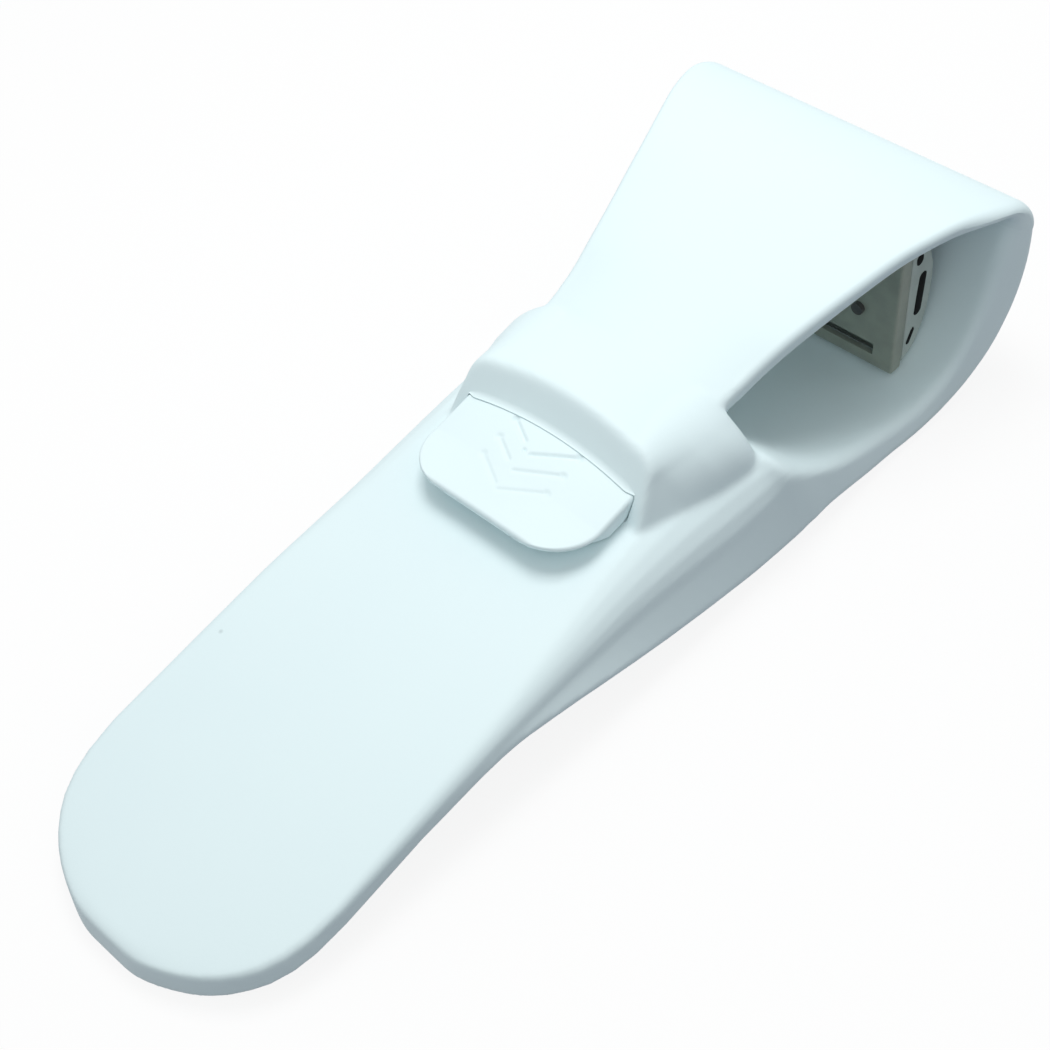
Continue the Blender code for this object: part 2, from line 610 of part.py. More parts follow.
# Small studs on the back face
for side, name in ((-1, "dock_stud_left"), (1, "dock_stud_right")):
    stud_at = Vector((side * 0.8 * WINDOW_HALF, -0.38, 0.403 * CART_HEIGHT)) * MM
    pin = bmesh.new()
    bmesh.ops.create_cone(
        pin,
        cap_ends=True,
        segments=20,
        radius1=STUD_RADIUS * MM,
        radius2=STUD_RADIUS * MM,
        depth=0.7 * MM,
        matrix=Matrix.Translation(stud_at) @ Matrix.Rotation(math.pi / 2, 4, "X"),
    )
    mesh = bpy.data.meshes.new(name)
    pin.to_mesh(mesh)
    pin.free()
    cart_parts.append(place_piece(name, mesh, stud_dark))

# Shading and placing
rest_drop = -(GRIP_CONTACT[0] * math.sin(REST_TILT) + GRIP_CONTACT[1] * math.cos(REST_TILT))
tilt = Matrix.Translation(Vector((0.0, REST_CENTRE, rest_drop)) * MM) @ Matrix.Rotation(REST_TILT, 4, "X")
stand = bpy.data.objects.new("stand", None)
cartridge_seat = bpy.data.objects.new("cartridge_seat", None)
strap_hinge = bpy.data.objects.new("strap_hinge", None)
for empty in (stand, cartridge_seat, strap_hinge):
    parts.objects.link(empty)
stand.matrix_world = tilt
cartridge_seat.parent = stand
cartridge_seat.matrix_local = Matrix.Translation(Vector((0.0, CART_FOOT_Y, CART_FOOT_Z)) * MM) @ Matrix.Rotation(
    -CART_LEAN, 4, "X"
)

# The strap turns about the line across the nose where it leaves the cover, so its empty lies on that line
hinge_at = Vector((0.0, *STRAP_HINGE)) * MM
strap_hinge.parent = stand
strap_hinge.matrix_local = Matrix.Translation(hinge_at)
loop_strap.data.transform(Matrix.Translation(-hinge_at))
loop_strap.parent = strap_hinge
for obj in (cover_body, pull_tab):
    obj.parent = stand
for obj in cart_parts:
    obj.parent = cartridge_seat
for obj in [cover_body, loop_strap, pull_tab, *cart_parts]:
    obj.data.shade_smooth()
    obj.data.set_sharp_from_angle(angle=math.radians(35))
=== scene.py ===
"""A white silicone razor cover lying on a pale floor, with a cartridge held in its loop.

The soft pieces are drawn in a level frame: x across, y from the grip end to the nose and z up, in
millimetres, with the grip level. `stand` then tips them onto the belly and the end of the grip.
"""

import math

import bmesh
import bpy
import numpy as np
from mathutils import Matrix, Vector


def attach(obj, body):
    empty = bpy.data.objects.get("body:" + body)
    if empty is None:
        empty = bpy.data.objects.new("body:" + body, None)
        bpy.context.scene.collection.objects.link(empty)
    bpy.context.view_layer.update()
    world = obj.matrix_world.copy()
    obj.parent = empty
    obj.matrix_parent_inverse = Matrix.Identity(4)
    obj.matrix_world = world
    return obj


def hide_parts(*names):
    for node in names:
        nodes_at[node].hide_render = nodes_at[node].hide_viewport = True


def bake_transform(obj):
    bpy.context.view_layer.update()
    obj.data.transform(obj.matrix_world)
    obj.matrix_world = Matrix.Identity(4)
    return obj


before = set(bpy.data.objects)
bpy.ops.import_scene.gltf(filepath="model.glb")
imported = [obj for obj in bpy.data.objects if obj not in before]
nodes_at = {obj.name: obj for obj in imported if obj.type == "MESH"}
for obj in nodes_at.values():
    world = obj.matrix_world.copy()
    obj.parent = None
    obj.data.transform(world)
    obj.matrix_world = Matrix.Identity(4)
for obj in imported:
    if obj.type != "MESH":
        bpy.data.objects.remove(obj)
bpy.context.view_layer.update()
scene = bpy.context.scene

# Cover: one soft moulding of white silicone. A flat grip thickens towards the middle, drops in a scoop
# under the cartridge and turns up into the nose, where the strap leaves it.
stand = Matrix.Translation((0.0, 0.003657, 0.013614)) @ Matrix.Rotation(math.radians(10.0), 4, "X")
GRIP_THICK = 5.0
GRIP_EDGE = 1.0
FLAT_STEPS = 16
CORNER_STEPS = 6
CREASE = math.radians(40)
grip_end = (
    # y, half width, how far the rounded tip falls short of each face
    (-80.2, 3.2, 0.9),
    (-80.1, 4.6, 0.6),
    (-79.8, 6.1, 0.3),
    (-79.3, 7.7, 0.1),
    (-78.4, 10.0, 0.0),
    (-77.3, 12.2, 0.0),
    (-75.9, 14.3, 0.0),
    (-74.3, 16.1, 0.0),
    (-72.3, 17.8, 0.0),
    (-70.2, 19.2, 0.0),
    (-67.3, 20.4, 0.0),
    (-64.0, 21.1, 0.0),
    (-59.0, 21.4, 0.0),
)
waist_and_nose = [
    # inner y, z, outer y, z, inner and outer half width, inner and outer edge radius, fall of the inner face
    (-46.0, 5.0, -46.0, 0.0, 21.5, 21.4, 1.6, 1.4, 0.4),
    (-32.0, 5.0, -32.0, -0.5, 21.7, 22.0, 2.4, 1.6, 0.5),
    (-23.0, 5.0, -23.0, -2.9, 21.8, 22.8, 3.6, 2.0, 0.6),
    (-14.0, 5.0, -14.0, -6.1, 22.0, 23.6, 5.0, 2.2, 0.8),
    (-5.0, 5.0, -5.0, -9.5, 22.5, 24.2, 6.6, 2.4, 0.9),
    (4.0, 4.6, 4.0, -12.4, 23.3, 24.8, 8.2, 2.6, 1.2),
    (12.0, 3.6, 12.5, -14.9, 24.0, 25.2, 8.8, 2.6, 1.6),
    (18.0, 2.5, 19.5, -16.3, 24.4, 25.5, 7.6, 2.6, 1.6),
    (20.6, 1.75, 22.0, -16.7, 24.6, 25.6, 5.4, 2.6, 1.2),
    (21.6, 0.7, 23.2, -16.8, 24.7, 25.6, 4.8, 2.6, 0.9),
    (22.8, -1.1, 24.5, -17.0, 24.8, 25.7, 4.2, 2.6, 0.6),
    (25.4, -4.8, 27.5, -17.4, 24.9, 25.7, 3.4, 2.6, 0.2),
    (29.2, -8.6, 31.5, -18.3, 25.2, 25.8, 2.8, 2.4, 0.0),
    (34.2, -11.9, 36.0, -19.6, 25.4, 25.9, 2.4, 2.2, 0.0),
    (39.5, -14.4, 40.5, -20.75, 25.6, 26.0, 2.2, 2.0, 0.0),
    (44.6, -16.3, 44.0, -21.58, 25.9, 26.2, 2.0, 1.8, 0.0),
    (49.6, -17.2, 49.0, -22.46, 26.2, 26.5, 1.8, 1.8, 0.0),
    (54.3, -16.1, 55.2, -22.3, 26.6, 26.9, 1.6, 1.8, 0.0),
    (57.8, -13.6, 60.6, -20.8, 26.9, 27.3, 1.4, 1.9, 0.0),
    (60.8, -10.1, 65.2, -18.1, 27.2, 27.6, 1.7, 2.0, 0.0),
    (63.5, -5.7, 69.1, -13.4, 27.5, 27.9, 2.0, 2.1, 0.0),
    (65.8, -1.1, 71.7, -7.7, 27.8, 28.1, 2.2, 2.2, 0.0),
    (67.5, 2.2, 73.0, -1.9, 27.9, 28.1, 2.3, 2.2, 0.0),
    # Past the strap's seam, where the sweep is trimmed after it has been softened
    (67.8, 3.6, 73.0, 0.9, 27.9, 28.1, 2.2, 2.2, 0.0),
    (67.4, 4.7, 71.9, 3.4, 27.8, 28.0, 2.0, 2.1, 0.0),
]


def smooth_rows(rows, steps):
    """Rows with Catmull-Rom steps between the given ones."""
    rows = np.array(rows, float)
    made = []
    for i in range(len(rows) - 1):
        a, b, c, d = rows[max(i - 1, 0)], rows[i], rows[i + 1], rows[min(i + 2, len(rows) - 1)]
        for t in np.arange(steps) / steps:
            bend = (2 * a - 5 * b + 4 * c - d) * t * t + (3 * b - a - 3 * c + d) * t**3
            made.append(0.5 * (2 * b + (c - a) * t + bend))
    made.append(rows[-1])
    return made


def section(row, flat_steps, corner_steps):
    """Rounded slab across x at one row; the last two values are the falls of the inner and outer faces."""
    inner, outer = np.array(row[0:2]), np.array(row[2:4])
    half_in, half_out, r_in, r_out, fall_in, fall_out = row[4:10]
    depth = float(np.linalg.norm(inner - outer))
    way = (inner - outer) / depth
    rise = math.copysign(1.0, way[1])
    r_in = min(r_in, 0.49 * depth, 0.9 * half_in)
    r_out = min(r_out, 0.49 * depth, 0.9 * half_out)
    flat_in, flat_out = half_in - r_in, half_out - r_out
    side = []
    for k in range(flat_steps + 1):
        x = flat_in * k / flat_steps
        side.append((x, depth, -fall_in * (x / half_in) ** 2))
    for k in range(1, corner_steps + 1):
        a = math.pi / 2 * k / corner_steps
        level = depth - r_in + r_in * math.cos(a)
        side.append((flat_in + r_in * math.sin(a), level, -fall_in * (flat_in / half_in) ** 2))
    for k in range(corner_steps + 1):
        a = math.pi / 2 * (1 + k / corner_steps)
        level = r_out + r_out * math.cos(a)
        side.append((flat_out + r_out * math.sin(a), level, fall_out * (flat_out / half_out) ** 2))
    for k in range(1, flat_steps + 1):
        x = flat_out * (1 - k / flat_steps)
        side.append((x, 0.0, fall_out * (x / half_out) ** 2))
    ring = side + [(-x, h, s) for x, h, s in reversed(side[1:-1])]
    return [(x, outer[0] + way[0] * h, outer[1] + way[1] * h + rise * s) for x, h, s in ring]


def skin(name, rings):
    """Mesh over closed rings of equal count, its ends closed by quads between the two long sides."""
    count = len(rings[0])
    verts = [Vector(p) * 0.001 for ring in rings for p in ring]
    faces = []
    for i in range(len(rings) - 1):
        for j in range(count):
            k = (j + 1) % count
            faces.append((i * count + j, i * count + k, (i + 1) * count + k, (i + 1) * count + j))
    half = count // 2
    for start in (0, (len(rings) - 1) * count):
        rungs = [(start + count - j, start + half + j) for j in range(half // 2, 0, -1)]
        rungs += [(start + j, start + half - j) for j in range(half // 2 + 1)]
        for one, two in zip(rungs[:-1], rungs[1:]):
            faces.append((one[0], two[0], two[1], one[1]))
    mesh = bpy.data.meshes.new(name)
    mesh.from_pydata(verts, [], faces)
    tidy = bmesh.new()
    tidy.from_mesh(mesh)
    bmesh.ops.recalc_face_normals(tidy, faces=tidy.faces)
    tidy.to_mesh(mesh)
    tidy.free()
    made = bpy.data.objects.new(name, mesh)
    scene.collection.objects.link(made)
    return made


def settle(piece, place):
    """Applies a piece's modifiers, moves its mesh by a matrix and shades it smooth."""
    graph = bpy.context.evaluated_depsgraph_get()
    mesh = bpy.data.meshes.new_from_object(piece.evaluated_get(graph))
    piece.modifiers.clear()
    piece.data = mesh
    mesh.transform(place)
    mesh.shade_smooth()


def combine(target, other, operation):
    """Adds a Boolean step with another piece to a piece."""
    step = target.modifiers.new(operation.lower(), "BOOLEAN")
    step.object = other
    step.operation = operation


along = np.gradient([row[0] for row in grip_end])
across = np.gradient([row[1] for row in grip_end])
sweep = []
for (y, half, drop), run, spread in zip(grip_end, along, across):
    # The tip's wall leans in towards the top face, most at the very end
    lean = float(np.interp(y, [-78.0, -72.0, -59.0], [1.1, 0.55, 0.0])) / math.hypot(run, spread)
    inner = (y + lean * spread, GRIP_THICK - drop)
    halves = (half - lean * run, half - 0.2 * min(1.0, run))
    sweep.append((*inner, y, 0.7 * drop, *halves, GRIP_EDGE, GRIP_EDGE, 0.4, 0.0))
sweep += smooth_rows([(*row, 0.0) for row in waist_and_nose], 4)
cover_skin = skin("cover_skin", [section(row, FLAT_STEPS, CORNER_STEPS) for row in sweep])

# Moulded surface shared by the silicone and the plastics: a faint cloudiness of colour and gloss, and the
# fine relief that the mould leaves
moulded = bpy.data.node_groups.new("moulded_surface", "ShaderNodeTree")
for name, kind, value in (
    ("Pale", "NodeSocketColor", (0.8, 0.8, 0.8, 1.0)),
    ("Deep", "NodeSocketColor", (0.7, 0.7, 0.7, 1.0)),
    ("Cloud Scale", "NodeSocketFloat", 45.0),
    ("Grain Scale", "NodeSocketFloat", 2600.0),
    ("Grain Height", "NodeSocketFloat", 0.12),
    ("Smooth Gloss", "NodeSocketFloat", 0.45),
    ("Dull Gloss", "NodeSocketFloat", 0.6),
):
    moulded.interface.new_socket(name=name, in_out="INPUT", socket_type=kind).default_value = value
for name, kind in (
    ("Colour", "NodeSocketColor"),
    ("Roughness", "NodeSocketFloat"),
    ("Normal", "NodeSocketVector"),
):
    moulded.interface.new_socket(name=name, in_out="OUTPUT", socket_type=kind)
given = moulded.nodes.new("NodeGroupInput")
result = moulded.nodes.new("NodeGroupOutput")
spot = moulded.nodes.new("ShaderNodeTexCoord")
cloud = moulded.nodes.new("ShaderNodeTexNoise")
cloud.inputs["Detail"].default_value = 3.0
cloud_range = moulded.nodes.new("ShaderNodeMapRange")
cloud_range.inputs["From Min"].default_value = 0.3
cloud_range.inputs["From Max"].default_value = 0.7
blend_colour = moulded.nodes.new("ShaderNodeMix")
blend_colour.data_type = "RGBA"
gloss_range = moulded.nodes.new("ShaderNodeMapRange")
grain = moulded.nodes.new("ShaderNodeTexNoise")
grain.inputs["Detail"].default_value = 2.0
relief = moulded.nodes.new("ShaderNodeBump")
relief.inputs["Distance"].default_value = 0.00005
for start, end in (
    (spot.outputs["Object"], cloud.inputs["Vector"]),
    (given.outputs["Cloud Scale"], cloud.inputs["Scale"]),
    (cloud.outputs["Fac"], cloud_range.inputs["Value"]),
    (cloud_range.outputs["Result"], blend_colour.inputs["Factor"]),
    (given.outputs["Deep"], blend_colour.inputs["A"]),
    (given.outputs["Pale"], blend_colour.inputs["B"]),
    (blend_colour.outputs["Result"], result.inputs["Colour"]),
    (cloud.outputs["Fac"], gloss_range.inputs["Value"]),
    (given.outputs["Smooth Gloss"], gloss_range.inputs["To Min"]),
    (given.outputs["Dull Gloss"], gloss_range.inputs["To Max"]),
    (gloss_range.outputs["Result"], result.inputs["Roughness"]),
    (spot.outputs["Object"], grain.inputs["Vector"]),
    (given.outputs["Grain Scale"], grain.inputs["Scale"]),
    (grain.outputs["Fac"], relief.inputs["Height"]),
    (given.outputs["Grain Height"], relief.inputs["Strength"]),
    (relief.outputs["Normal"], result.inputs["Normal"]),
):
    moulded.links.new(start, end)


def moulded_material(name, pale, deep, gloss, cloud_scale, grain_scale, grain_height):
    """Material whose colour, gloss and relief come from the moulded surface."""
    material = bpy.data.materials.new(name)
    material.use_nodes = True
    tree = material.node_tree
    shader = tree.nodes["Principled BSDF"]
    surface = tree.nodes.new("ShaderNodeGroup")
    surface.name = "moulded"
    surface.node_tree = moulded
    surface.inputs["Pale"].default_value = (*pale, 1.0)
    surface.inputs["Deep"].default_value = (*deep, 1.0)
    surface.inputs["Cloud Scale"].default_value = cloud_scale
    surface.inputs["Grain Scale"].default_value = grain_scale
    surface.inputs["Grain Height"].default_value = grain_height
    surface.inputs["Smooth Gloss"].default_value = gloss[0]
    surface.inputs["Dull Gloss"].default_value = gloss[1]
    tree.links.new(surface.outputs["Colour"], shader.inputs["Base Color"])
    tree.links.new(surface.outputs["Roughness"], shader.inputs["Roughness"])
    tree.links.new(surface.outputs["Normal"], shader.inputs["Normal"])
    return material


def shader_of(material):
    """A material's main shader."""
    return material.node_tree.nodes["Principled BSDF"]


# White silicone: satin, with the odd speck of dust that sticks to it
silicone = moulded_material(
    "white_silicone", (0.80, 0.945, 0.965), (0.785, 0.93, 0.955), (0.46, 0.6), 40.0, 2600.0, 0.1
)
shader_of(silicone).inputs["IOR"].default_value = 1.41
tree = silicone.node_tree
place = tree.nodes.new("ShaderNodeTexCoord")
cells = tree.nodes.new("ShaderNodeTexVoronoi")
cells.inputs["Scale"].default_value = 110.0
speck = tree.nodes.new("ShaderNodeMapRange")
speck.inputs["From Min"].default_value = 0.02
speck.inputs["From Max"].default_value = 0.05
speck.inputs["To Min"].default_value = 0.4
speck.inputs["To Max"].default_value = 0.0
chance = tree.nodes.new("ShaderNodeSeparateColor")
few = tree.nodes.new("ShaderNodeMath")
few.operation = "GREATER_THAN"
few.inputs[1].default_value = 0.94
dust = tree.nodes.new("ShaderNodeMath")
dust.operation = "MULTIPLY"
dusted = tree.nodes.new("ShaderNodeMix")
dusted.data_type = "RGBA"
dusted.inputs["B"].default_value = (0.35, 0.42, 0.44, 1.0)
for start, end in (
    (place.outputs["Object"], cells.inputs["Vector"]),
    (cells.outputs["Distance"], speck.inputs["Value"]),
    (cells.outputs["Color"], chance.inputs["Color"]),
    (chance.outputs["Red"], few.inputs[0]),
    (speck.outputs["Result"], dust.inputs[0]),
    (few.outputs[0], dust.inputs[1]),
    (dust.outputs[0], dusted.inputs["Factor"]),
    (tree.nodes["moulded"].outputs["Colour"], dusted.inputs["A"]),
    (dusted.outputs["Result"], shader_of(silicone).inputs["Base Color"]),
):
    tree.links.new(start, end)


def dress(piece, material):
    """Gives a piece one material."""
    piece.data.materials.clear()
    piece.data.materials.append(material)


# Keeper: a crowned band raised on the cover in the same moulding. Its front leans back from the grip, its
# sides fall as leaning walls at the front and grow full and round towards the rear, where the strap leaves.
keeper_rows = np.array(
    [
        # y, crown height, side height, half width at the foot and at the top, corner, foot level, fullness
        (0.2, 13.9, 11.6, 17.0, 15.8, 2.8, 3.9, 0.0),
        (6.5, 13.5, 11.3, 18.7, 15.9, 3.4, 3.0, 0.3),
        (8.2, 13.2, 10.8, 19.1, 15.9, 4.0, 2.7, 0.6),
        (13.0, 12.0, 9.6, 20.2, 16.0, 5.4, 1.6, 0.9),
        (17.0, 11.0, 8.5, 20.9, 16.1, 5.8, 0.7, 0.95),
        (18.8, 10.65, 8.1, 21.2, 16.1, 5.6, 0.2, 0.9),
        (19.6, 10.53, 7.95, 20.9, 16.1, 5.2, 0.2, 0.85),
        (20.3, 10.45, 7.85, 20.3, 16.0, 4.6, 0.2, 0.75),
    ]
)
KEEPER_FRONT_Y = 0.5
KEEPER_FRONT_Z = 4.0
KEEPER_FRONT_SLOPE = 1.15
KEEPER_FRONT_SOFT = 0.45
KEEPER_BASE = -3.0
ARCH_TOP_STEPS = 12
ARCH_SIDE_STEPS = 16


def arch(y, top, side_top, foot_half, top_half, corner, level, fullness, base):
    """Closed arch outline at one y: a crowned top, rounded shoulders and sides that run out to the feet.

    At fullness 0 the side is a round corner over a leaning wall, at 1 one quarter of an ellipse.
    """
    flat = top_half - corner
    crown = top - side_top
    side = []
    for k in range(ARCH_TOP_STEPS + 1):
        x = flat * k / ARCH_TOP_STEPS
        side.append((x, top - crown * (x / top_half) ** 2))
    shoulder = top - crown * (flat / top_half) ** 2
    drop = shoulder - corner - level
    turn = ARCH_SIDE_STEPS // 2
    for k in range(1, ARCH_SIDE_STEPS + 1):
        a = math.pi / 2 * min(k, turn) / turn
        t = max(0, k - turn) / turn
        wall_x = flat + corner * math.sin(a) + (foot_half - top_half) * t**1.2
        wall_z = shoulder - corner + corner * math.cos(a) - drop * t
        a = math.pi / 2 * k / ARCH_SIDE_STEPS
        full_x = flat + (foot_half - flat) * math.sin(a)
        full_z = level + (shoulder - level) * math.cos(a)
        side.append((wall_x + (full_x - wall_x) * fullness, wall_z + (full_z - wall_z) * fullness))
    side += [(foot_half, base), (0.0, base)]
    return [(x, y, z) for x, z in side + [(-x, z) for x, z in reversed(side[1:-1])]]


def front_plane(z):
    """y of the keeper's leaning front at a height."""
    return KEEPER_FRONT_Y + (z - KEEPER_FRONT_Z) / KEEPER_FRONT_SLOPE


keeper_stations = [*np.arange(0.2, 9.0, 0.4), *np.arange(9.0, 19.0, 1.0), 19.2, 19.6, 20.0, 20.3]
keeper_rings = []
for y in keeper_stations:
    row = [float(np.interp(y, keeper_rows[:, 0], keeper_rows[:, i])) for i in range(1, 8)]
    front = KEEPER_FRONT_Z + KEEPER_FRONT_SLOPE * (y - KEEPER_FRONT_Y)
    soft = KEEPER_FRONT_SOFT
    ring = []
    for x, _, z in arch(y, *row, KEEPER_BASE):
        # A soft minimum of the arch and the leaning front, which rounds the edge between them
        lowered = -soft * math.log(math.exp(-z / soft) + math.exp(-front / soft))
        ring.append((x, y, lowered if z > KEEPER_BASE + 1.0 else z))
    keeper_rings.append(ring)
keeper = skin("keeper_blank", keeper_rings)

# Loop strap: a flat band of the same silicone from the nose back over the cartridge into the keeper. Its
# root is one with the keeper, so that part is made with the cover; the free part starts inside it and runs
# on into the nose, so no gap opens there.
ROOT_END = 24.0
strap_rows = [
    # inner y, z, outer y, z, half widths, edge radii, falls of the two faces towards the sides
    (66.6, 0.4, 72.2, -3.4, 27.6, 27.8, 2.3, 2.2, 0.0, 0.0),
    (67.65, 2.47, 73.1, -1.58, 27.9, 28.1, 2.3, 2.2, 0.0, 0.0),
    (67.8, 3.6, 73.0, 0.9, 27.9, 28.1, 2.2, 2.2, 0.0, 0.0),
    (67.4, 4.7, 71.9, 3.4, 27.8, 28.0, 2.0, 2.1, 0.0, 0.0),
    (66.3, 5.6, 70.2, 5.4, 27.6, 27.8, 1.7, 1.8, 0.0, 0.0),
    (64.4, 6.4, 67.6, 7.1, 27.2, 27.4, 1.4, 1.5, 0.0, 0.0),
    (61.8, 7.2, 64.0, 8.7, 26.2, 26.4, 1.2, 1.3, 0.0, 0.0),
    (58.7, 7.8, 59.8, 10.1, 24.8, 25.0, 1.1, 1.1, 0.0, 0.0),
    (54.9, 8.1, 55.2, 10.7, 23.3, 23.5, 1.1, 1.1, -0.1, 0.1),
    (50.5, 8.2, 50.5, 11.0, 21.8, 22.0, 1.1, 1.1, -0.2, 0.2),
    (44.5, 8.1, 44.5, 11.0, 20.2, 20.4, 1.1, 1.1, -0.5, 0.5),
    (38.0, 7.8, 38.0, 10.8, 18.6, 18.7, 1.1, 1.1, -0.8, 0.8),
    (32.0, 7.5, 32.0, 10.6, 17.2, 17.3, 1.1, 1.1, -1.2, 1.2),
    (27.5, 7.3, 27.5, 10.45, 16.3, 16.4, 1.1, 1.1, -1.8, 1.8),
    (ROOT_END, 7.1, ROOT_END, 10.4, 15.8, 15.95, 1.1, 1.1, -2.2, 2.2),
    (20.5, 7.0, 20.5, 10.45, 15.4, 15.6, 1.1, 1.1, -2.4, 2.4),
    (18.5, 7.0, 18.5, 10.4, 15.2, 15.4, 1.1, 1.1, -2.4, 2.4),
]
STRAP_STEPS = 8
ROOT_FROM = 13 * STRAP_STEPS
FREE_TO = 15 * STRAP_STEPS
DRAWN_IN = 0.06
strap_rings = [section(row, FLAT_STEPS, CORNER_STEPS) for row in smooth_rows(strap_rows, STRAP_STEPS)]
root = skin("strap_root", strap_rings[ROOT_FROM:])
free_rings = strap_rings[:FREE_TO]
for i, ring in enumerate(free_rings):
    # Both ends are drawn in towards their own middle, so that they lie inside the cover
    past = max(STRAP_STEPS - i, i - (FREE_TO - STRAP_STEPS), 0) / STRAP_STEPS
    middle = np.mean(ring, axis=0)
    free_rings[i] = [tuple(middle + (np.array(point) - middle) * (1 - DRAWN_IN * past**2)) for point in ring]
loop_strap = skin("loop_strap_skin", free_rings)
settle(loop_strap, stand)
loop_strap.data.set_sharp_from_angle(angle=CREASE)
dress(loop_strap, silicone)
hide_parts("loop_strap")
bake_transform(loop_strap)

# Cover, keeper and strap root as one: the three are joined and softened as one moulding. The slot that the
# tab comes out of is then cut through the keeper, and the seams with the free strap are trimmed flat.
SLOT_TOP = 8.85
SLOT_FALL = 1.35
SLOT_HALF = 14.8
SLOT_EDGE = 0.6
SOFT_VOXEL = 0.00042


def slot_arch(y, floor):
    """Outline of the slot at one y, open down to a floor."""
    return arch(
        y, SLOT_TOP, SLOT_TOP - SLOT_FALL, SLOT_HALF, SLOT_HALF, SLOT_EDGE, floor + 0.1, 0.0, floor
    )


slot_rings = []
for depth, floor in ((-7.0, 6.6), (0.0, 4.6), (2.2, 4.5)):
    slot_rings.append([(x, front_plane(z) + depth, z) for x, _, z in slot_arch(0.0, floor)])
for y in (9.5, 18.9):
    slot_rings.append(slot_arch(y, 4.3))
slot = skin("slot_blank", slot_rings)
combine(cover_skin, keeper, "UNION")
combine(cover_skin, root, "UNION")
soften = cover_skin.modifiers.new("remesh", "REMESH")
soften.mode = "VOXEL"
soften.voxel_size = SOFT_VOXEL
relax = cover_skin.modifiers.new("relax", "SMOOTH")
relax.factor = 0.5
relax.iterations = 3
combine(cover_skin, slot, "DIFFERENCE")
settle(cover_skin, Matrix.Identity(4))
for blank in (keeper, root, slot):
    bpy.data.objects.remove(blank, do_unlink=True)
trim = bmesh.new()
trim.from_mesh(cover_skin.data)
for low, high, lift, at, way in (
    # In metres: the reach of the trim in y, its least z, a point on its plane and the side that goes
    (0.055, 0.1, -0.05, (0.0, 0.06765, 0.00247), (0.0, 4.05, 5.45)),
    (0.0222, 0.032, 0.0045, (0.0, ROOT_END * 0.001, 0.0), (0.0, 1.0, 0.0)),
):
    near = []
    for face in trim.faces:
        middle = face.calc_center_median()
        if low < middle.y < high and middle.z > lift:
            near.append(face)
    edges = {edge for face in near for edge in face.edges}
    verts = {vert for face in near for vert in face.verts}
    cut = bmesh.ops.bisect_plane(
        trim,
        geom=near + list(edges) + list(verts),
        plane_co=at,
        plane_no=Vector(way).normalized(),
        clear_outer=True,
    )
    rim = [part for part in cut["geom_cut"] if isinstance(part, bmesh.types.BMEdge)]
    bmesh.ops.edgeloop_fill(trim, edges=rim)
trim.to_mesh(cover_skin.data)
trim.free()
cover_skin.data.transform(stand)
cover_skin.data.shade_smooth()
cover_skin.data.set_sharp_from_angle(angle=CREASE)
dress(cover_skin, silicone)
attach(cover_skin, "cover")
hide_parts("cover_body")

# Mouth lip: the small ledge that the moulding leaves along the top of the slot. It is silicone, one with the
# keeper's front, which it meets in a hollow, and it thins out at both ends.
LIP = 0.55
LIP_HALF = 14.7
LIP_FADE = 1.5
lip_rings = []
for x in np.linspace(-LIP_HALF, LIP_HALF, 75):
    size = LIP * min(1.0, 0.1 + (LIP_HALF - abs(x)) / LIP_FADE)
    top = SLOT_TOP - SLOT_FALL * (x / SLOT_HALF) ** 2
    start = np.array([front_plane(top + size), top + size])
    bend = np.array([front_plane(top + 0.1), top + 0.1])
    tip = np.array([front_plane(top) - size, top + 0.1])
    ring = []
    for t in np.linspace(0.0, 1.0, 7):
        y, z = (1 - t) ** 2 * start + 2 * t * (1 - t) * bend + t * t * tip
        ring.append((x, y, z))
    ring += [(x, tip[0], top), (x, front_plane(top) + 0.5, top), (x, start[0] + 0.5, top + size)]
    lip_rings.append(ring)
mouth_lip = skin("mouth_lip", lip_rings)
settle(mouth_lip, stand)
mouth_lip.data.set_sharp_from_angle(angle=CREASE)
dress(mouth_lip, silicone)
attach(mouth_lip, "cover")

# Pull tab: the strap's free end, moulded with it, lying over the grip. Its corners are rounded, and three
# chevrons are sunk in its top, each arm ending in a small round pit.
TAB_FRONT = -10.4
TAB_HALF = 14.7
TAB_THICK = 2.7
TAB_CORNER = 7.0
TAB_EDGE = 0.6
TAB_TOP = 8.79
TAB_RISE = 0.51
TAB_RISE_FROM = -3.2
TAB_CUT_BACK = 1.9
CUT_BACK_BETWEEN = (-6.0, -2.0)
CHEVRON_HALF = 5.6
CHEVRON_POINT = 3.2
chevrons = (
    # y of the ends, depth, x where the left arm stops, x where the right arm starts
    (3.4, 0.3, -2.2, 0.0),
    (0.1, 0.2, -2.1, -0.3),
    (-3.1, 0.16, -1.1, 0.0),
)
ARM_RADIUS = 0.5
END_PIT_RADIUS = 0.8
END_PIT_DEEPER = 1.3
VERTEX_PIT = (-1.25, 0.3)
VERTEX_PIT_RADIUS = 0.4
VERTEX_PIT_DEPTH = 0.35


def hollow(distance, radius):
    """Share of the full depth at a distance from the middle of a mark of this radius."""
    return (1 - (distance / radius) ** 2) ** 2 if distance < radius else 0.0


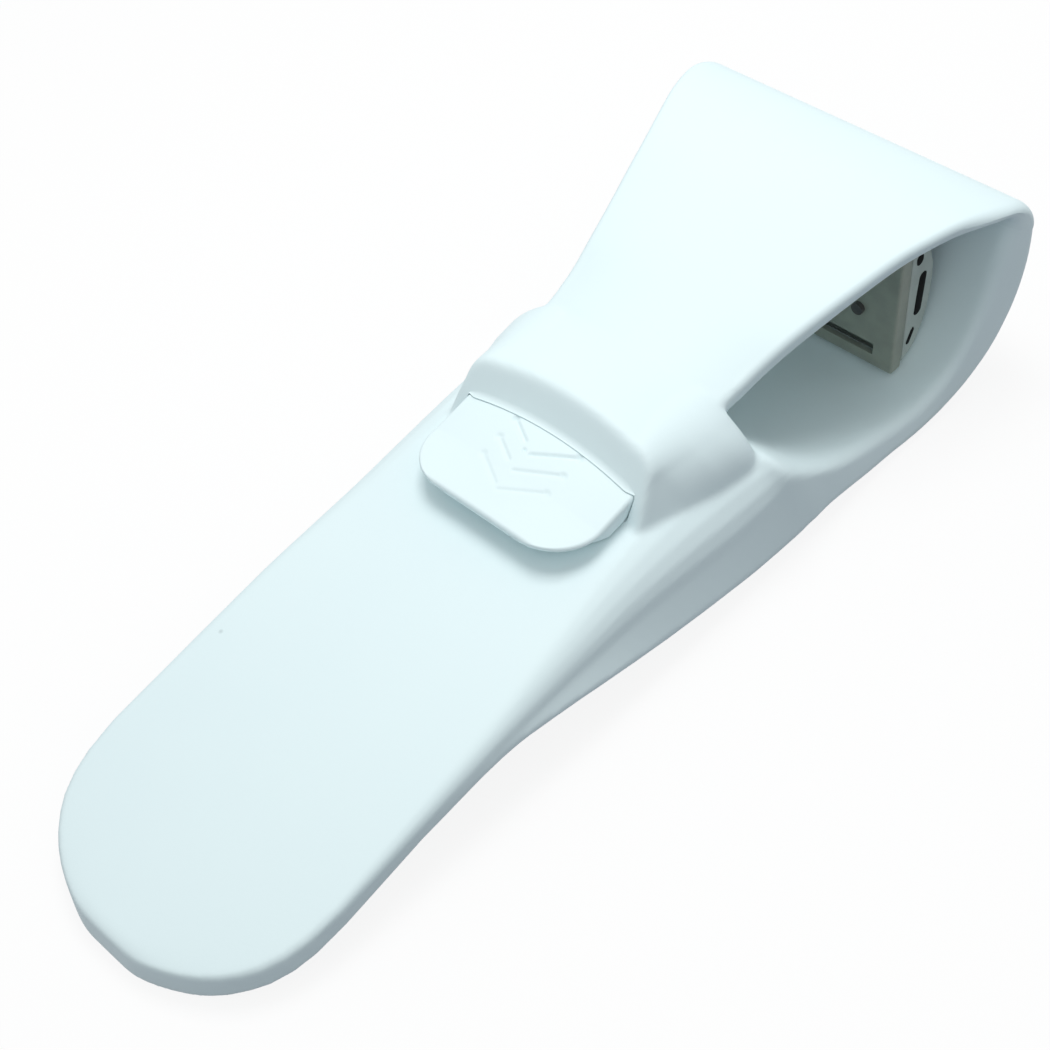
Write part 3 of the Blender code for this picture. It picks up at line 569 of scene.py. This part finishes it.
def sunk(x, y):
    """Depth of the chevrons at one point of the tab's top."""
    from_pit = math.hypot(x - VERTEX_PIT[0], y - VERTEX_PIT[1])
    depth = VERTEX_PIT_DEPTH * hollow(from_pit, VERTEX_PIT_RADIUS)
    for end, deep, left_stop, right_start in chevrons:
        for tip, stop in ((-CHEVRON_HALF, left_stop), (CHEVRON_HALF, right_start)):
            slope = CHEVRON_POINT / CHEVRON_HALF
            a = Vector((tip, end))
            b = Vector((stop, end - CHEVRON_POINT + abs(stop) * slope))
            share = min(1.0, max(0.0, (Vector((x, y)) - a).dot(b - a) / (b - a).length_squared))
            from_arm = (Vector((x, y)) - a - (b - a) * share).length
            from_end = math.hypot(x - tip, y - end)
            depth = max(depth, deep * hollow(from_arm, ARM_RADIUS))
            depth = max(depth, END_PIT_DEEPER * deep * hollow(from_end, END_PIT_RADIUS))
    return depth


stations = [TAB_FRONT + TAB_CORNER * (1 - math.cos(math.pi / 2 * k / 60)) for k in range(61)]
stations += list(np.arange(TAB_FRONT + TAB_CORNER + 0.16, 4.6, 0.16)) + list(np.arange(5.0, 12.6, 1.0))
tab_rings = []
for y in stations:
    past = max(0.0, TAB_FRONT + TAB_CORNER - y)
    half = TAB_HALF - TAB_CORNER + math.sqrt(max(0.0, TAB_CORNER**2 - past**2))
    short = max(0.0, TAB_EDGE - (y - TAB_FRONT))
    thin = TAB_EDGE - math.sqrt(TAB_EDGE**2 - short**2)
    top = TAB_TOP + TAB_RISE * max(0.0, (TAB_RISE_FROM - y) / (TAB_RISE_FROM - TAB_FRONT)) ** 1.6
    fall = float(np.interp(y, [TAB_FRONT, TAB_RISE_FROM, 3.0, 9.0], [0.3, 1.3, 1.38, 1.45]))
    fall *= (half / TAB_HALF) ** 2
    # The underside is cut back under the free edge, so the edge itself is thin
    cut_back = float(np.interp(y, CUT_BACK_BETWEEN, [TAB_CUT_BACK, 0.1]))
    low = top - TAB_THICK + thin + 1.1 * max(0.0, 1 - (y - TAB_FRONT) / 2.4) ** 2
    under_edge = float(np.interp(y, CUT_BACK_BETWEEN, [0.9, 0.25]))
    row = (y, low, y, top - thin, half - cut_back, half, under_edge, TAB_EDGE, -fall, fall)
    ring = []
    for x, _, z in section(row, 90, CORNER_STEPS):
        level = top - thin - fall * (x / half) ** 2
        ring.append((x, y, z - (sunk(x, y) if z > level - 0.05 and abs(x) < 6.6 else 0.0)))
    tab_rings.append(ring)
pull_tab = skin("pull_tab_skin", tab_rings)
settle(pull_tab, stand)
dress(pull_tab, silicone)
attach(pull_tab, "tab")
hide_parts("pull_tab")


def finish_node(name, material):
    """Puts a material on a solid that shows as it is."""
    nodes_at[name].material_slots[0].material = material


# Cartridge frame and housing: two mouldings of dull greenish grey plastic, clipped back to back. The frame is
# the flat back plate, and the curved housing carries the blades.
frame_plastic = moulded_material(
    "frame_plastic", (0.31, 0.35, 0.295), (0.255, 0.29, 0.245), (0.4, 0.55), 300.0, 4000.0, 0.25
)
housing_plastic = moulded_material(
    "housing_plastic", (0.45, 0.51, 0.465), (0.385, 0.435, 0.395), (0.4, 0.55), 300.0, 4000.0, 0.25
)
finish_node("cartridge_frame", frame_plastic)
finish_node("blade_housing", housing_plastic)

# End caps: a paler plastic moulding pushed over each end of the housing, where it holds the blades' ends. Its
# face has three slots.
cap_plastic = moulded_material(
    "cap_plastic", (0.47, 0.54, 0.5), (0.4, 0.465, 0.43), (0.38, 0.5), 300.0, 4000.0, 0.2
)
for side in ("left", "right"):
    finish_node(f"end_cap_{side}", cap_plastic)

# Slot shade sheets: painted shade. Flat sheets of dull black fill the three slots in the face of each end cap
# and stand just proud of it, in place of the shade deep inside the openings
CAP_FACE = 19.3
SHADE_SHEET_DEEP = 0.3
SHADE_SHEET_PROUD = 0.03
SHADE_SHEET_EDGE = 0.05
SHADE_SHEET_POINTS = 24
cap_slots = (
    # y, z of one end, of the other, width, in the cartridge's own frame
    (3.65, 3.3, 4.85, 5.7, 1.0),
    (5.3, 7.9, 5.8, 15.5, 1.8),
    (4.65, 17.5, 4.3, 19.5, 1.6),
)
cartridge_at = Matrix.Translation((0.0, 0.04975, -0.016)) @ Matrix.Rotation(math.radians(-12.0), 4, "X")
# Near black that paints the shade inside the cap slots
painted_slot_shade = moulded_material(
    "painted_slot_shade", (0.01, 0.011, 0.011), (0.004, 0.005, 0.005), (0.75, 0.9), 600.0, 4000.0, 0.2
)
shader_of(painted_slot_shade).inputs["Specular IOR Level"].default_value = 0.1
for way, side in ((-1, "left"), (1, "right")):
    for number, (y0, z0, y1, z1, wide) in enumerate(cap_slots, 1):
        run = Vector((y1 - y0, z1 - z0))
        straight = run.length / 2 - wide / 2
        run.normalize()
        middle_y, middle_z = (y0 + y1) / 2, (z0 + z1) / 2
        rings = []
        for proud, narrow in ((-SHADE_SHEET_DEEP, 0.0), (0.5 * SHADE_SHEET_PROUD, 0.0), (SHADE_SHEET_PROUD, SHADE_SHEET_EDGE)):
            ring = []
            for k in range(SHADE_SHEET_POINTS):
                a = math.pi / 2 + 2 * math.pi * k / SHADE_SHEET_POINTS
                reach = math.cos(a) * (wide / 2 - narrow)
                # The first point and the one opposite lie halfway along the slot
                reach += 0.0 if k in (0, SHADE_SHEET_POINTS // 2) else math.copysign(straight, math.cos(a))
                out = math.sin(a) * (wide / 2 - narrow)
                y = middle_y + run.x * reach - run.y * out
                z = middle_z + run.y * reach + run.x * out
                ring.append((way * (CAP_FACE + proud), y, z))
            rings.append(ring)
        shade_sheet = skin(f"slot_shade_sheet_{side}_{number}", rings)
        settle(shade_sheet, stand @ cartridge_at)
        shade_sheet.data.set_sharp_from_angle(angle=CREASE)
        dress(shade_sheet, painted_slot_shade)
        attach(shade_sheet, "cartridge")

# Blades and trimmer: ground and polished strip steel. The five blades are held at their ends in the housing,
# and the trimmer lies in the slot of the frame.
blade_steel = moulded_material(
    "blade_steel", (0.78, 0.79, 0.81), (0.7, 0.71, 0.73), (0.18, 0.28), 900.0, 5000.0, 0.1
)
shader_of(blade_steel).inputs["Metallic"].default_value = 1.0
for i in range(5):
    finish_node(f"blade_{i + 1}", blade_steel)
finish_node("trimmer_blade", blade_steel)

# Guard fins and lubricating strip: a row of fins in dark soft rubber below the blades, and a strip of dry,
# pale green gel above them. Both are fixed in the housing.
fin_rubber = moulded_material(
    "fin_rubber", (0.1, 0.11, 0.12), (0.07, 0.08, 0.09), (0.6, 0.75), 500.0, 3000.0, 0.3
)
strip_gel = moulded_material(
    "strip_gel", (0.56, 0.7, 0.67), (0.48, 0.62, 0.6), (0.5, 0.7), 400.0, 2500.0, 0.4
)
finish_node("guard_fins", fin_rubber)
finish_node("lubricating_strip", strip_gel)

# Docking studs: two small pins of dark, smoother plastic, moulded on the back face of the frame. The neck of
# a razor docks on them.
stud_plastic = moulded_material(
    "stud_plastic", (0.08, 0.08, 0.075), (0.05, 0.05, 0.05), (0.3, 0.42), 600.0, 4000.0, 0.15
)
for side in ("left", "right"):
    finish_node(f"dock_stud_{side}", stud_plastic)

# Floor: a plain white sheet, grey to the light that bounces from it and white to the eye, with the faint
# shadow that lies under the cover
floor_mesh = bpy.data.meshes.new("floor")
floor_mesh.from_pydata([(-3, -3, 0), (3, -3, 0), (3, 3, 0), (-3, 3, 0)], [], [(0, 1, 2, 3)])
floor = bpy.data.objects.new("floor", floor_mesh)
scene.collection.objects.link(floor)


def seen_share(tree):
    """Output that is 1 for the eye, straight or by gloss or glass, and 0 for light on the object."""
    path = tree.nodes.new("ShaderNodeLightPath")
    share = path.outputs["Is Camera Ray"]
    for kind in ("Is Glossy Ray", "Is Transmission Ray"):
        either = tree.nodes.new("ShaderNodeMath")
        either.operation = "MAXIMUM"
        tree.links.new(share, either.inputs[0])
        tree.links.new(path.outputs[kind], either.inputs[1])
        share = either.outputs[0]
    return share


floor_white = bpy.data.materials.new("floor_white")
floor_white.use_nodes = True
tree = floor_white.node_tree
shader = shader_of(floor_white)
shader.inputs["Roughness"].default_value = 0.9
shader.inputs["Specular IOR Level"].default_value = 0.2
seen = seen_share(tree)
tone = tree.nodes.new("ShaderNodeMix")
tone.data_type = "RGBA"
tone.inputs["A"].default_value = (0.15, 0.18, 0.23, 1.0)
tone.inputs["B"].default_value = (0.97, 0.98, 0.98, 1.0)
glow = tree.nodes.new("ShaderNodeEmission")
glow.inputs["Strength"].default_value = 1.0
share = tree.nodes.new("ShaderNodeMath")
share.operation = "MULTIPLY"
share.inputs[1].default_value = 0.88
mix = tree.nodes.new("ShaderNodeMixShader")
for start, end in (
    (seen, tone.inputs["Factor"]),
    (seen, share.inputs[0]),
    (tone.outputs["Result"], shader.inputs["Base Color"]),
    (share.outputs[0], mix.inputs["Fac"]),
    (shader.outputs["BSDF"], mix.inputs[1]),
    (glow.outputs["Emission"], mix.inputs[2]),
    (mix.outputs["Shader"], tree.nodes["Material Output"].inputs["Surface"]),
):
    tree.links.new(start, end)
floor_mesh.materials.append(floor_white)

# Light: an even white surround, and one soft lamp high over the nose on the side away from the camera, which
# leaves the flank towards the camera in soft shade
world = bpy.data.worlds.new("surround")
scene.world = world
world.use_nodes = True
tree = world.node_tree
even = tree.nodes["Background"]
even.inputs["Color"].default_value = (0.98, 0.99, 1.0, 1.0)
even.inputs["Strength"].default_value = 0.56
white = tree.nodes.new("ShaderNodeBackground")
white.inputs["Color"].default_value = (1.0, 1.0, 1.0, 1.0)
white.inputs["Strength"].default_value = 1.0
mix = tree.nodes.new("ShaderNodeMixShader")
for start, end in (
    (seen_share(tree), mix.inputs["Fac"]),
    (even.outputs["Background"], mix.inputs[1]),
    (white.outputs["Background"], mix.inputs[2]),
    (mix.outputs["Shader"], tree.nodes["World Output"].inputs["Surface"]),
):
    tree.links.new(start, end)
lamp_data = bpy.data.lights.new("overhead_lamp", "AREA")
lamp_data.size = 0.15
lamp_data.energy = 0.585
lamp = bpy.data.objects.new("overhead_lamp", lamp_data)
scene.collection.objects.link(lamp)
lamp.location = (-0.05, 0.07, 0.34)
toward_cover = Vector((0.0, 0.0, 0.01)) - lamp.location
lamp.rotation_euler = toward_cover.to_track_quat("-Z", "Y").to_euler()

# Camera: at the photograph's angle, above the open side of the loop. The grip end points to the lower left of
# the picture and the nose to the upper right.
camera_data = bpy.data.cameras.new("camera")
camera_data.sensor_width = 36.0
camera_data.lens = 61.7
camera_data.clip_start = 0.01
camera = bpy.data.objects.new("camera", camera_data)
scene.collection.objects.link(camera)
camera_axes = (
    Vector((0.729, 0.6531, -0.2051)),
    Vector((-0.4807, 0.7016, 0.526)),
    Vector((0.4874, -0.2849, 0.8254)),
)
aim = Matrix(camera_axes).transposed().to_4x4()
camera.matrix_world = stand @ Matrix.Translation((0.11732, -0.07297, 0.19633)) @ aim
scene.camera = camera
scene.view_settings.view_transform = "Standard"
